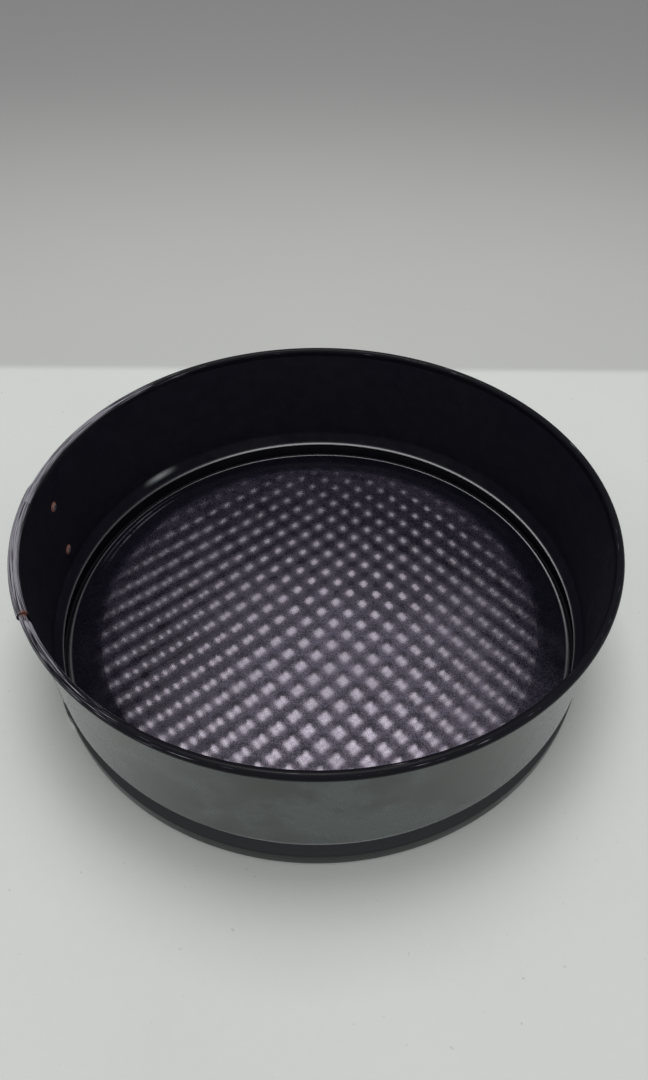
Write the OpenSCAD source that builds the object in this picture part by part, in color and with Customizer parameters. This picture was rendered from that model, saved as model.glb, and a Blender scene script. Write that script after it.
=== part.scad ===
// Springform cake pan, 24 cm: a sheet-steel band with a rolled rim and an over-centre clasp,
// closed round a separate base plate with an embossed egg-crate floor.
// The origin is at the table, under the middle of everything: the clasp at the left sets the pan's axis
// a little to the right of it. +Z is up, -Y is the front.

/* [Pan] */
// Diameter over the rolled rim
rim_d = 250; // [200:1:320]
// Height from the table to the top of the plain rim
pan_h = 72; // [62:0.5:100]
// Thickness of the band's sheet
sheet = 0.5; // [0.4:0.05:0.6]
// Outer diameter of the rolled rim
roll_d = 3.5; // [3.2:0.1:4.5]
// Degrees that the roll's sheet wraps round
roll_wrap = 300; // [240:5:305]

/* [Foot of the band] */
// Height at which the wall starts to turn in above the ridge
shoulder_h = 17.5; // [15.5:0.5:20]
// Height of the ledge where the slope flattens above the ridge
ledge_h = 12; // [11.7:0.1:13.5]
// Depth of the ledge from the wall's inner face
ledge_in = 2; // [1.7:0.1:2.1]
// Height of the ridge that holds the base plate down
ridge_h = 10.5; // [9.8:0.1:10.7]
// Depth of the ridge, before its bend rounds it, from the wall's inner face
ridge_in = 3.2; // [3:0.1:3.5]
// Height of the channel's outer wall, where it meets the slope to the ridge
channel_h = 7.4; // [6.8:0.1:8]
// How far the channel's wall stands out from the wall above
channel_out = 0.5; // [0.2:0.1:1]
// Width of the lip that is turned in under the base plate
lip_w = 3.6; // [3:0.1:4.5]
// Inner radius of the wall's shoulder bend
shoulder_r = 5; // [3:0.5:8]
// Inner radius of the bend at the ledge
ledge_r = 2.5; // [1.5:0.5:3]
// Radius of the ridge's crest on the inside of the pan
ridge_r = 1.4; // [1.1:0.1:1.5]
// Inner radius of the bend above the channel
channel_r = 1.6; // [1:0.1:2]
// Inner radius of the bend between the channel and the lip
corner_r = 1.2; // [0.8:0.1:1.3]

/* [Overlap of the ends] */
// Clearance between the two layers of the band
lap_gap = 0.2; // [0.15:0.05:0.3]
// Arc from the hinge's rivets to the cut end of the outer layer
outer_end_s = 15; // [13:0.5:16]
// Arc from the hinge's rivets to the end of the tongue inside
tongue_s = 78.5; // [60:0.5:90]
// Arc from the hinge's rivets to where the tongue's roll starts to open out
roll_open_s = 3; // [2:0.5:5]
// Length over which the tongue's roll opens out
roll_ease_len = 6; // [3:0.5:9]
// Degrees that the tongue's opened roll wraps over the other one
open_wrap = 235; // [180:5:240]
// Gap between the tongue's end and the joggle that brings the outer layer in
joggle_gap = 1.5; // [1:0.5:6]
// Length of the joggle
joggle_len = 4; // [3:0.5:10]

/* [Base plate] */
// Thickness of the base plate's sheet
base_t = 0.6; // [0.5:0.05:0.8]
// Height of the floor above the table
floor_h = 3.6; // [3.2:0.1:4.2]
// Diameter of the raised floor, to the middle of its edge
floor_d = 236.6; // [186:0.2:306]
// Run of the slope at the floor's edge
floor_slope = 0.6; // [0.3:0.1:0.9]
// Radius of the floor's edge
floor_edge_r = 1.2; // [1:0.1:1.5]
// Diameter of the hem at the plate's edge
hem_d = 1.8; // [1.4:0.1:2.4]
// Clearance between the plate's edge and the band's channel
hem_gap = 0.6; // [0.6:0.1:1]
// Clearance between the plate and the band's lip
plate_seat = 0.05; // [0.03:0.01:0.1]
// Distance from one crown of the embossed floor to the next
wave_pitch = 9.2; // [7:0.2:14]
// Height from the embossing's hollows to its crowns
wave_h = 1.1; // [0.6:0.1:1.5]
// Plain margin between the floor's edge and the embossing
wave_margin = 8.5; // [6:0.5:12]
// Width over which the embossing fades out
wave_fade = 5; // [3:0.5:8]
// Turn of the embossing's rows
wave_turn = 40; // [-45:1:45]

/* [Clasp] */
// Direction of the hinge's rivets, seen from the pan's axis
hinge_az = 172; // [155:0.5:175]
// Arc from the hinge's rivets to the hook
clasp_span = 28.7; // [27:0.1:31]
// Height of the clasp's middle
clasp_h = 40; // [38:0.5:44]
// Height of both plates
plate_h = 40; // [37:0.5:42]
// Thickness of both plates
plate_t = 1; // [0.8:0.1:1.2]
// Width of the hinge plate, round the pan
hinge_plate_w = 17; // [15:0.5:18]
// Width of the catch plate, round the pan
catch_plate_w = 17; // [14:0.5:19]
// Corner radius of both plates
plate_corner_r = 3; // [2:0.5:4]
// Distance between the two rivets of a plate
rivet_span = 27.3; // [26.5:0.1:30]
// Distance from the wall to the hinge pin's axis
pin_rise = 7; // [6.5:0.1:7.5]
// Diameter of the hinge pin
pin_d = 3.2; // [2.8:0.1:3.4]
// Diameter of the wire loop's wire
wire_d = 2.5; // [2:0.1:2.6]
// Distance from the hinge pin to the loop's rear bar
throw_len = 5; // [4.8:0.1:5.2]
// Degrees that the loop's rear bar lies past the dead centre
past_centre = 6; // [4:1:8]
// Clearance between the loop's front bar and the catch plate
bar_gap = 1.6; // [1.4:0.1:1.8]
// Width of the lever over its side walls
lever_w = 15; // [14:0.5:15.5]
// Thickness of the lever's sheet
lever_t = 1; // [0.8:0.1:1.2]
// Length of the lever's handle, round the pan
lever_len = 56; // [45:1:65]
// Depth of the lever's side walls at the hinge
lever_depth = 6.2; // [5.8:0.1:6.6]
// Running clearance of the pin and of the wire in their holes
run_gap = 0.06; // [0.03:0.01:0.09]

/* [Rivets] */
// Diameter of the rivets' shanks
rivet_d = 3; // [2.6:0.1:3.2]
// Diameter of the rivets' heads
rivet_head_d = 4.8; // [4.4:0.1:5.4]
// Height of the rivets' heads
rivet_head_h = 0.8; // [0.6:0.1:1]

/* [Hidden] */
$fn = 96;

// Overrun of the cutting solids
over = 1;
// Degrees that neighbouring lengths of the band run into each other, to be one piece
join_a = 0.05;
// The lip's free edge is drawn up by this much where the tongue's roll opens out
lip_draw = 0.03;
// Clearance under parts that are seated on a curved wall
seat = 0.03;
// Clearance round the rivets' shanks in their holes
rivet_play = 0.02;
rivet_hole_d = rivet_d + 2 * rivet_play;
// The joggle and the roll's opening are drawn as this many short steps, a bend and the roll as this many flats
joggle_steps = 3;
ease_steps = 3;
bend_steps = 8;
roll_steps = 30;

// Radii of the wall's faces, and of the channel's inner face
wall_in = rim_d / 2 - roll_d;
wall_out = wall_in + sheet;
channel_in = wall_in + channel_out;
// Height of the roll's centre
roll_z = pan_h - roll_d / 2;
// The outer layer lies this far out from the tongue
lap = sheet + lap_gap;
// The outer layer's foot is cut off above the corner bend, so that it clears the lip
lap_foot_h = sheet + 1.5 * corner_r;
band_points = [[channel_in - lip_w, sheet], [channel_in, sheet], [channel_in, channel_h],
               [wall_in - ridge_in, ridge_h], [wall_in - ledge_in, ledge_h], [wall_in, shoulder_h],
               [wall_in, roll_z]];
band_bends = [0, corner_r, channel_r, ridge_r, ledge_r, shoulder_r, 0];
eased_points = [for (i = [0 : len(band_points) - 1]) i == 0 ? band_points[0] + [0, lip_draw] : band_points[i]];
lap_points = [for (i = [1 : len(band_points) - 1]) i == 1 ? [channel_in, lap_foot_h] : band_points[i]];
lap_bends = [for (i = [1 : len(band_bends) - 1]) i == 1 ? 0 : band_bends[i]];

// Angle round the pan that an arc on the wall spans
function turn(arc) = arc / wall_out * 180 / PI;
tongue_a = turn(tongue_s);
open_a = turn(roll_open_s);
ease_step_a = turn(roll_ease_len) / ease_steps;
outer_a = turn(outer_end_s);
joggle_a = turn(tongue_s + joggle_gap);
joggle_step_a = turn(joggle_len) / joggle_steps;
catch_a = turn(clasp_span);

function unit(v) = v / norm(v);
function right_of(v) = [v[1], -v[0]];
function heading(p, i) = unit(p[i + 1] - p[i]);
function bend_angle(p, i) =
    let (a = heading(p, i - 1), b = heading(p, i))
    atan2(a[0] * b[1] - a[1] * b[0], a * b);
function bend_reach(p, r, i) = r[i] == 0 ? 0 : r[i] * tan(abs(bend_angle(p, i)) / 2);

function turned(v, a) = [v[0] * cos(a) - v[1] * sin(a), v[0] * sin(a) + v[1] * cos(a)];
function backward(list) = [for (i = [len(list) - 1 : -1 : 0]) list[i]];

// Bend i of a sheet whose left face follows the points p with bends of radii r, off to the right of it
function bend(p, r, off, i) =
    let (a = bend_angle(p, i), way = sign(a), out = way * right_of(heading(p, i - 1)),
         centre = p[i] - heading(p, i - 1) * bend_reach(p, r, i) - out * r[i])
    [for (k = [0 : bend_steps]) centre + (r[i] + way * off) * turned(out, a * k / bend_steps)];

// The face of that sheet, from its first point to its last
function sheet_face(p, r, off) =
    let (last = len(p) - 1)
    [p[0] + right_of(heading(p, 0)) * off,
     for (i = [1 : last - 1]) each bend(p, r, off, i),
     p[last] + right_of(heading(p, last - 1)) * off];

// Arc of the roll that leaves the wall at its left and goes over the top
function roll_arc(centre, r, wrap) =
    [for (k = [1 : roll_steps]) centre + r * [-cos(wrap * k / roll_steps), sin(wrap * k / roll_steps)]];

// Section of the band along the points p, moved out by shift, with a roll of radius r at the top
module rolled_sheet(p, r, shift, roll_r, wrap) {
    centre = p[len(p) - 1] + [shift + roll_r, 0];
    polygon(concat(sheet_face(p, r, shift), roll_arc(centre, roll_r, wrap),
                   backward(roll_arc(centre, roll_r - sheet, wrap)), backward(sheet_face(p, r, shift + sheet))));
}

module band_section() {
    rolled_sheet(band_points, band_bends, 0, roll_d / 2, roll_wrap);
}

// The tongue's roll is opened out by half of the lap, to hook over the other one
module tongue_section() {
    rolled_sheet(band_points, band_bends, 0, (roll_d + lap) / 2, open_wrap);
}

// Where the roll opens out, by a share of that, the lip is drawn up a hair towards its free edge
module eased_section(share) {
    rolled_sheet(eased_points, band_bends, 0, (roll_d + share * lap) / 2, open_wrap);
}

// The outer layer's roll is as much tighter, about the same centre, and eases out with the joggle
module outer_section(shift) {
    rolled_sheet(lap_points, lap_bends, shift, (roll_d - shift) / 2, roll_wrap);
}

// Revolves a section from one angle to another, counted from the hinge's rivets
module sweep(from, to) {
    rotate([0, 0, hinge_az + from]) rotate_extrude(angle = to - from) children();
}

// A cylinder that points out from the pan's axis, from r0 to r1
module radial_rod(angle, z, r0, r1, d) {
    rotate([0, 0, hinge_az + angle]) translate([r0, 0, z]) rotate([0, 90, 0]) cylinder(h = r1 - r0, d = d);
}

module rivet_places() {
    for (side = [-1, 1]) translate([0, 0, clasp_h + side * rivet_span / 2]) children();
}

// One strip of sheet: the channel at the foot, the wall, the rolled rim and the lapped ends
module side_band() {
    color([0.13, 0.13, 0.16]) on_axis() difference() {
        union() {
            sweep(joggle_a + joggle_steps * joggle_step_a, 360 + open_a + join_a) band_section();
            for (k = [0 : ease_steps - 1])
                sweep(open_a + k * ease_step_a, open_a + (k + 1) * ease_step_a + join_a)
                    eased_section((k + 0.5) / ease_steps);
            sweep(open_a + ease_steps * ease_step_a, tongue_a) tongue_section();
            sweep(outer_a, joggle_a) outer_section(lap);
            for (k = [0 : joggle_steps - 1])
                sweep(joggle_a + k * joggle_step_a - join_a, joggle_a + (k + 1) * joggle_step_a + join_a)
                    outer_section(lap * (1 - (k + 0.5) / joggle_steps));
        }
        rivet_places() radial_rod(0, 0, wall_in - over, wall_out + over, rivet_hole_d);
        rivet_places() radial_rod(catch_a, 0, wall_out + lap_gap / 2, wall_out + lap + over, rivet_hole_d);
    }
}

floor_r = floor_d / 2;
plate_edge_r = channel_in - hem_gap;
flange_top = sheet + plate_seat + base_t;
hem_r = hem_d / 2;
hem_at = [plate_edge_r - hem_r, sheet + plate_seat + hem_r];
// Where the hem's bead starts from the flange's top
hem_from = 180 - asin((flange_top - hem_at[1]) / hem_r);
ring_r = floor_r - wave_margin;
base_points = [[ring_r, floor_h], [floor_r - floor_slope / 2, floor_h],
               [floor_r + floor_slope / 2, flange_top], hem_at + hem_r * [cos(hem_from), sin(hem_from)]];
base_bends = [0, floor_edge_r, base_t / 2, 0];

// The embossing is sampled at its crowns, hollows and saddles, half a pitch apart. It fades out before
// the plain ring, and its sheet runs on into the ring, a little thinner, to be one piece with it.
cell = wave_pitch / 2;
bond = 0.02;
sheet_r = ring_r + 1.5 * cell;
cells = floor(sheet_r / cell);
function fade(r) = min(1, max(0, (ring_r - cell / 2 - r) / wave_fade));
function wave(i, j) = wave_h / 4 * (pow(-1, i) + pow(-1, j)) * fade(norm([i, j]) * cell);
function reach_at(i) = floor(sqrt(max(0, pow(sheet_r / cell, 2) - pow(i, 2))));
// Cells are kept where all four corners lie inside the sheet's radius
function kept(i, j) = max(abs(j), abs(j + 1)) <= reach_at(max(abs(i), abs(i + 1)));
function row(i, j) = (i + cells) * (2 * cells + 1) + j + cells;

// Embossed sheet: two faces of the same relief, and the wall round their stepped outline
module embossed_sheet() {
    below = pow(2 * cells + 1, 2);
    span = [-cells : cells];
    points = [for (lift = [floor_h - bond, floor_h - base_t + bond]) for (i = span) for (j = span)
        [i * cell, j * cell, lift + wave(i, j)]];
    squares = [for (i = span) for (j = span) if (kept(i, j)) [i, j]];
    top = [for (q = squares) [row(q[0], q[1]), row(q[0], q[1] + 1), row(q[0] + 1, q[1] + 1), row(q[0] + 1, q[1])]];
    bottom = [for (f = top) [for (v = backward(f)) v + below]];
    walls = [for (q = squares) for (e = [[-1, 0, 0, 0, 0, 1], [1, 0, 1, 1, 1, 0], [0, -1, 1, 0, 0, 0], [0, 1, 0, 1, 1, 1]])
        if (!kept(q[0] + e[0], q[1] + e[1]))
            let (a = row(q[0] + e[2], q[1] + e[3]), b = row(q[0] + e[4], q[1] + e[5])) [b, a, a + below, b + below]];
    rotate([0, 0, wave_turn]) polyhedron(points, concat(top, bottom, walls));
}

// One plate of sheet: the embossed floor, its plain ring and edge, the flange in the channel and the hem
module base_plate() {
    hem = [for (k = [1 : roll_steps]) let (a = hem_from - (hem_from + 90) * k / roll_steps) hem_at + hem_r * [cos(a), sin(a)]];
    color([0.2, 0.18, 0.22]) on_axis() {
        embossed_sheet();
        rotate_extrude() polygon(concat(sheet_face(base_points, base_bends, 0), hem,
                                        backward(sheet_face(base_points, base_bends, base_t))));
    }
}

// Curved plate on the wall, centred on an angle, with rounded corners
module wall_plate(angle, r, w) {
    rotate([0, 0, hinge_az + angle]) intersection() {
        difference() {
            cylinder(h = pan_h, r = r + plate_t);
            translate([0, 0, -over]) cylinder(h = pan_h + 2 * over, r = r);
        }
        outward(r / 2, r) translate([0, clasp_h]) rounded_rect(w, plate_h, plate_corner_r);
    }
}

// Extrudes a shape, drawn with X round the pan and Y up, outward from the distance r0
module outward(r0, depth) {
    translate([r0, 0, 0]) rotate([90, 0, 90]) linear_extrude(depth) children();
}

module rounded_rect(w, h, r) {
    square([w, h - 2 * r], center = true);
    square([w - 2 * r, h], center = true);
    for (x = [-1, 1]) for (y = [-1, 1]) translate([x * (w / 2 - r), y * (h / 2 - r)]) circle(r = r);
}

// Axes of the clasp, in plan, with X out from the pan's axis at the hinge
hinge_at = [wall_out + pin_rise, 0];
bar_r = wall_out + lap + seat + plate_t + bar_gap + wire_d / 2;
bar_at = bar_r * [cos(catch_a), sin(catch_a)];
rear_at = hinge_at + throw_len * turned(unit(hinge_at - bar_at), -past_centre);

// Sizes that the ears, the pin, the lever and the loop share
ear_t = 1.2;
ear_wall = 1.7;
ear_r = pin_d / 2 + ear_wall;
ear_foot = 11;
ear_gap = 0.3;
ear_z = lever_w / 2 + ear_gap;
pin_head_t = 0.8;
pin_head_lip = 1;
pin_head_d = pin_d + 2 * pin_head_lip;
pin_len = 2 * (ear_z + ear_t);
leg_gap = 0.5;
leg_z = pin_len / 2 + pin_head_t + leg_gap + wire_d / 2;
// Bar's play inside the hook, the hook's sheet, its width, its shift past the bar, and how far it closes
hook_play = 1.2;
hook_in_r = wire_d / 2 + hook_play;
hook_t = 1.2;
hook_w = 12;
hook_shift = 1;
hook_end_a = 10;
// The clasp reaches further than the rim, so the pan's axis is moved the other way by half of that
axis_x = (bar_r + hook_in_r + hook_t - rim_d / 2) / 2;

module on_axis() {
    translate([axis_x, 0, 0]) children();
}

module in_clasp_frame(angle) {
    rotate([0, 0, hinge_az + angle]) translate([0, 0, clasp_h]) children();
}

// One of a pair of flat walls, at the given side, from z0 to z1 away from the clasp's middle
module side_wall(side, z0, z1) {
    translate([0, 0, side > 0 ? z0 : -z1]) linear_extrude(z1 - z0) children();
}

// Riveted plate with two ears that hold the hinge pin
module hinge_plate() {
    plate_r = wall_out + seat;
    plate_mid = plate_r + plate_t / 2;
    color([0.62, 0.63, 0.64]) on_axis() difference() {
        union() {
            wall_plate(0, plate_r, hinge_plate_w);
            in_clasp_frame(0) for (side = [-1, 1]) side_wall(side, ear_z, ear_z + ear_t) {
                translate(hinge_at) circle(r = ear_r);
                polygon([[plate_mid, -ear_foot / 2], [plate_mid, ear_foot / 2],
                         [hinge_at[0], ear_r - seat], [hinge_at[0], seat - ear_r]]);
            }
        }
        rivet_places() radial_rod(0, 0, wall_in, plate_r + plate_t + over, rivet_hole_d);
        in_clasp_frame(0) translate(hinge_at) cylinder(h = pin_len + 2 * over, d = pin_d, center = true);
    }
}

// Rivet that points outward: a shank from r0 to r1 and a low domed head on it, or one at each end
module rivet(r0, r1, both_heads) {
    rotate([0, 90, 0]) {
        translate([0, 0, r0]) cylinder(h = r1 - r0, d = rivet_d);
        translate([0, 0, r1]) rivet_head();
        if (both_heads) translate([0, 0, r0]) mirror([0, 0, 1]) rivet_head();
    }
}

module rivet_head() {
    dome_r = (pow(rivet_head_d / 2, 2) + pow(rivet_head_h, 2)) / (2 * rivet_head_h);
    intersection() {
        translate([0, 0, rivet_head_h - dome_r]) sphere(r = dome_r);
        cylinder(h = dome_r, d = 2 * rivet_head_d);
    }
}

module hinge_rivets() {
    color([0.66, 0.6, 0.55]) on_axis() rotate([0, 0, hinge_az]) rivet_places()
        rivet(wall_in - seat, wall_out + seat + plate_t, true);
}

// These rivets are set flush inside, because the tongue lies close behind them
module catch_rivets() {
    color([0.66, 0.6, 0.55]) on_axis() rotate([0, 0, hinge_az + catch_a]) rivet_places()
        rivet(wall_out + lap_gap, wall_out + lap + seat + plate_t, false);
}

module hinge_pin() {
    color([0.7, 0.7, 0.7]) on_axis() in_clasp_frame(0) translate(hinge_at) {
        cylinder(h = pin_len, d = pin_d, center = true);
        for (side = [-1, 1]) translate([0, 0, side * (pin_len + pin_head_t) / 2])
            cylinder(h = pin_head_t, d = pin_head_d, center = true);
    }
}

// The lever is a pressed channel that follows the wall, with bosses for the two axes. Its side walls
// taper towards the tip, which is rounded and flares away from the wall.
boss_wall = 1.5;
boss_r = pin_d / 2 + boss_wall;
rear_boss_wall = 1.3;
rear_boss_r = wire_d / 2 + rear_boss_wall;
web_rise = 0.5;
lever_r = hinge_at[0] + boss_r + web_rise;
lever_a = turn(lever_len);
side_share = 0.9;
side_a = lever_a * side_share;
flare_r = 16;
flare_turn = 30;
// The flare starts a hair proud of the web and runs back into it, so that their faces cross cleanly
flare_rise = 0.1;
flare_join_a = 4;
// The web stops short of the bosses, so that the side walls run on to them as two arms
web_gap = 1;
web_end_a = turn(throw_len + rear_boss_r + web_gap);
tip_round_share = 0.36;
// The taper's cylinder passes the side walls' inner edge at the hinge and most of the way up at the tip
taper_end = 1.4;
taper_d = lever_r - lever_depth;
taper_shift = (lever_depth - taper_end) / sin(side_a);

// Part of a ring about the pan's axis, between two radii, two heights and two angles
module ring_part(r0, r1, z0, z1, from, to) {
    rotate([0, 0, from]) rotate_extrude(angle = to - from) translate([r0, z0]) square([r1 - r0, z1 - z0]);
}

// One side wall in plan: two bosses, and the wall that tapers to the tip
module side_profile() {
    reach = 2 * lever_r;
    translate(hinge_at) circle(r = boss_r);
    translate(rear_at) circle(r = rear_boss_r);
    difference() {
        intersection() {
            circle(r = lever_r - lever_t / 4);
            polygon([[0, 0], reach * [cos(side_a), -sin(side_a)], [reach, 0]]);
        }
        circle(r = taper_d);
        translate([0, -taper_shift]) circle(r = taper_d);
    }
}

// Drawn too wide, for the outline to trim
module lever_body() {
    wide = lever_w / 2 + over;
    ring_part(lever_r - lever_t, lever_r, -wide, wide, -lever_a, -web_end_a);
    for (side = [-1, 1]) side_wall(side, lever_w / 2 - lever_t, wide) side_profile();
    // The flared tip
    rotate([0, 0, -lever_a]) translate([lever_r + flare_r, 0, 0]) rotate([0, 0, 180])
        ring_part(flare_r - flare_rise, flare_r - flare_rise + lever_t, -wide, wide, -flare_join_a, flare_turn);
}

module lever() {
    tip_y = -sin(lever_a) * (lever_r + flare_r) + sin(lever_a - flare_turn) * flare_r;
    color([0.66, 0.67, 0.68]) on_axis() in_clasp_frame(0) difference() {
        intersection() {
            lever_body();
            outward(lever_r * cos(lever_a) - lever_depth - over, lever_r) lever_outline(tip_y);
        }
        translate(hinge_at) cylinder(h = lever_w + 2 * over, d = pin_d + 2 * run_gap, center = true);
        translate(rear_at) cylinder(h = lever_w + 2 * over, d = wire_d + 2 * run_gap, center = true);
    }
}

// The lever seen from outside: full width with a rounded tip
module lever_outline(tip_y) {
    r = lever_w * tip_round_share;
    front = boss_r + over;
    translate([tip_y + r, -lever_w / 2]) square([front - tip_y - r, lever_w]);
    translate([tip_y, -lever_w / 2 + r]) square([r + over, lever_w - 2 * r]);
    for (side = [-1, 1]) translate([tip_y + r, side * (lever_w / 2 - r)]) circle(r = r);
}

// Closed loop of wire: the rear bar turns in the lever, and the front bar lies in the hook
module wire_loop() {
    span = norm(rear_at - bar_at);
    lean = atan2(bar_at[1] - rear_at[1], bar_at[0] - rear_at[0]);
    bend_r = wire_d;
    color([0.74, 0.74, 0.74]) on_axis() in_clasp_frame(0) translate(rear_at) rotate([0, 0, lean]) {
        for (x = [0, span]) translate([x, 0, 0]) cylinder(h = 2 * (leg_z - bend_r), d = wire_d, center = true);
        for (side = [-1, 1]) {
            translate([bend_r, 0, side * leg_z]) rotate([0, 90, 0]) cylinder(h = span - 2 * bend_r, d = wire_d);
            for (end = [0, 1])
                translate([end == 0 ? bend_r : span - bend_r, 0, side * (leg_z - bend_r)])
                    rotate([90, 0, 0]) rotate([0, 0, end == 0 ? (side > 0 ? 90 : 180) : (side > 0 ? 0 : 270)])
                        rotate_extrude(angle = 90) translate([bend_r, 0]) circle(d = wire_d);
        }
    }
}

// Riveted plate with a tab that is bent out and round as the hook
module catch_plate() {
    plate_r = wall_out + lap + seat;
    foot_y = hook_shift - hook_in_r - hook_t;
    color([0.62, 0.63, 0.64]) on_axis() difference() {
        union() {
            wall_plate(catch_a, plate_r, catch_plate_w);
            in_clasp_frame(catch_a) linear_extrude(hook_w, center = true) {
                translate([bar_r, hook_shift]) rotate([0, 0, -90]) hook_arc(90 + hook_end_a);
                translate([plate_r + plate_t / 2, foot_y]) square([bar_r - plate_r - plate_t / 2 + seat, hook_t]);
            }
        }
        rivet_places() radial_rod(catch_a, 0, wall_out, plate_r + plate_t + over, rivet_hole_d);
    }
}

// Part of a ring, from the X direction on, that spans an angle of less than 180 degrees
module hook_arc(angle) {
    reach = 2 * (hook_in_r + hook_t);
    intersection() {
        difference() {
            circle(r = hook_in_r + hook_t);
            circle(r = hook_in_r);
        }
        polygon([[0, 0], [reach, 0], reach * [cos(angle / 2), sin(angle / 2)], reach * [cos(angle), sin(angle)]]);
    }
}

side_band();
base_plate();
hinge_plate();
hinge_rivets();
hinge_pin();
lever();
wire_loop();
catch_plate();
catch_rivets();
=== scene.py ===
import math

import bmesh
import bpy
from mathutils import Matrix, Vector


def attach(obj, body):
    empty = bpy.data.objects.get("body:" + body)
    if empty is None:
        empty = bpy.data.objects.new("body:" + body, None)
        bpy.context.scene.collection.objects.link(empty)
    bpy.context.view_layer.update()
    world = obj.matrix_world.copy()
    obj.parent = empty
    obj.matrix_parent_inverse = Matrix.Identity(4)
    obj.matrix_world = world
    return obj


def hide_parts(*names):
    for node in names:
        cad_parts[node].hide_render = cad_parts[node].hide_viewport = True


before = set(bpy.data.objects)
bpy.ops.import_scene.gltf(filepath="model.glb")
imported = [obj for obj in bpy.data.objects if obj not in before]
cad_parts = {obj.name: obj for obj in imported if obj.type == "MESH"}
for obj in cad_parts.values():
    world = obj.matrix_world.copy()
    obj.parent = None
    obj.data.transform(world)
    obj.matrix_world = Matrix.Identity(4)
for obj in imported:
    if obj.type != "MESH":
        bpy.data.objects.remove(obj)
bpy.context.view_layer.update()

# The pan's sizes are in millimetres, and MM turns them into Blender's metres
MM = 0.001
TAU = 2 * math.pi

# Sizes of the band, as the model has them
RIM_D = 250.0
PAN_H = 72.0
SHEET = 0.5
ROLL_D = 3.5
ROLL_WRAP = 300.0
SHOULDER_H = 17.5
LEDGE_H = 12.0
LEDGE_IN = 2.0
RIDGE_H = 10.5
RIDGE_IN = 3.2
CHANNEL_H = 7.4
CHANNEL_OUT = 0.5
LIP_W = 3.6
SHOULDER_R = 5.0
LEDGE_R = 2.5
RIDGE_R = 1.4
CHANNEL_R = 1.6
CORNER_R = 1.2
WALL_IN = RIM_D / 2 - ROLL_D
WALL_OUT = WALL_IN + SHEET
CHANNEL_IN = WALL_IN + CHANNEL_OUT
ROLL_Z = PAN_H - ROLL_D / 2

# The roll's finish begins a little below the roll, where the wall's face is divided for it
ROLL_FROM = PAN_H - 3.65

# Corners of the band's inner face, from the lip's edge up to the roll, and the radii of their bends
BAND_POINTS = ((CHANNEL_IN - LIP_W, SHEET), (CHANNEL_IN, SHEET), (CHANNEL_IN, CHANNEL_H),
               (WALL_IN - RIDGE_IN, RIDGE_H), (WALL_IN - LEDGE_IN, LEDGE_H), (WALL_IN, SHOULDER_H),
               (WALL_IN, ROLL_FROM), (WALL_IN, ROLL_Z))
BAND_BENDS = (0, CORNER_R, CHANNEL_R, RIDGE_R, LEDGE_R, SHOULDER_R, 0, 0)

# The outer layer of the lap has no lip: it begins above the bend at the channel's corner
LAP_FOOT_H = SHEET + 1.5 * CORNER_R
LAP_POINTS = ((CHANNEL_IN, LAP_FOOT_H),) + BAND_POINTS[2:]
LAP_BENDS = (0,) + BAND_BENDS[2:]

# Arcs of the lapped ends along the wall, from the hinge's rivets on
HINGE_AZ = 172.0
CLASP_SPAN = 28.7
OUTER_END_S = 15.0
TONGUE_S = 78.5
ROLL_OPEN_S = 3.0
ROLL_EASE_LEN = 6.0
OPEN_WRAP = 235.0
JOGGLE_S = TONGUE_S + 1.5
JOGGLE_LEN = 4.0
LAP = SHEET + 0.2

# Sizes of the base plate
BASE_T = 0.6
FLOOR_H = 3.6
FLOOR_R = 118.3
FLOOR_SLOPE = 0.6
FLOOR_EDGE_R = 1.2
HEM_R = 0.9
HEM_GAP = 0.6
PLATE_SEAT = 0.05
WAVE_PITCH = 9.2
WAVE_H = 1.1
WAVE_MARGIN = 8.5
WAVE_FADE = 5.0
WAVE_TURN = 40.0
PLATE_EDGE_R = CHANNEL_IN - HEM_GAP
PLATE_Z = SHEET + PLATE_SEAT
RING_R = FLOOR_R - WAVE_MARGIN

# The floor's mesh is a grid out to FIELD_R and rings beyond it. Its gloss falls off in two steps
FIELD_CELLS = 156
FIELD_RINGS = 13
FIELD_R = RING_R - 15.6
FADING_R = FIELD_R + 3.6
MARGIN_R = FIELD_R + 9.6

# The pan's axis lies a little to the right of the origin, because the clasp reaches out at the left
AXIS_X = 2.615
CLASP_H = 40.0
RIVET_SPAN = 27.3
RIVET_HEIGHTS = (CLASP_H - RIVET_SPAN / 2, CLASP_H + RIVET_SPAN / 2)

# How finely the meshes are made: steps in a bend and round a curl, degrees between sections, and
# the angles from which an edge is sharp
BEND_STEPS = 8
ROLL_STEPS = 36
HEM_STEPS = 16
PLATE_BEND_STEPS = 6
WALL_STEP = 1.5
EASE_STEP = 0.3
PIECE_SHARP, EMBOSSED_SHARP, COPY_SHARP = 35.0, 40.0, 30.0
MERGE = 0.001 * MM

# Colours of the finishes. A pair is the darkest and the palest of a mottled one
INSIDE_COAT = ((0.0058, 0.0060, 0.0100, 1), (0.0078, 0.0080, 0.0128, 1))
WALL_COAT = ((0.000, 0.003, 0.002, 1), (0.032, 0.047, 0.044, 1))
# The darker foot is painted shade, where the bead faces the shaded table close below
FOOT_PAINTED_SHADE = (0.010, 0.012, 0.013, 1)
ROLL_COAT = (0.004, 0.004, 0.006, 1)
# Rubbed grey on top of the roll, which also stands in as its painted highlight
RUBBED_COAT_AND_HIGHLIGHT = (0.27, 0.26, 0.29, 1)
SCUFFED_COAT = (0.36, 0.38, 0.38, 1)
BAND_RUST = (0.12, 0.040, 0.028, 1)
FLOOR_COAT = ((0.003, 0.003, 0.006, 1), (0.030, 0.025, 0.040, 1))
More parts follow.
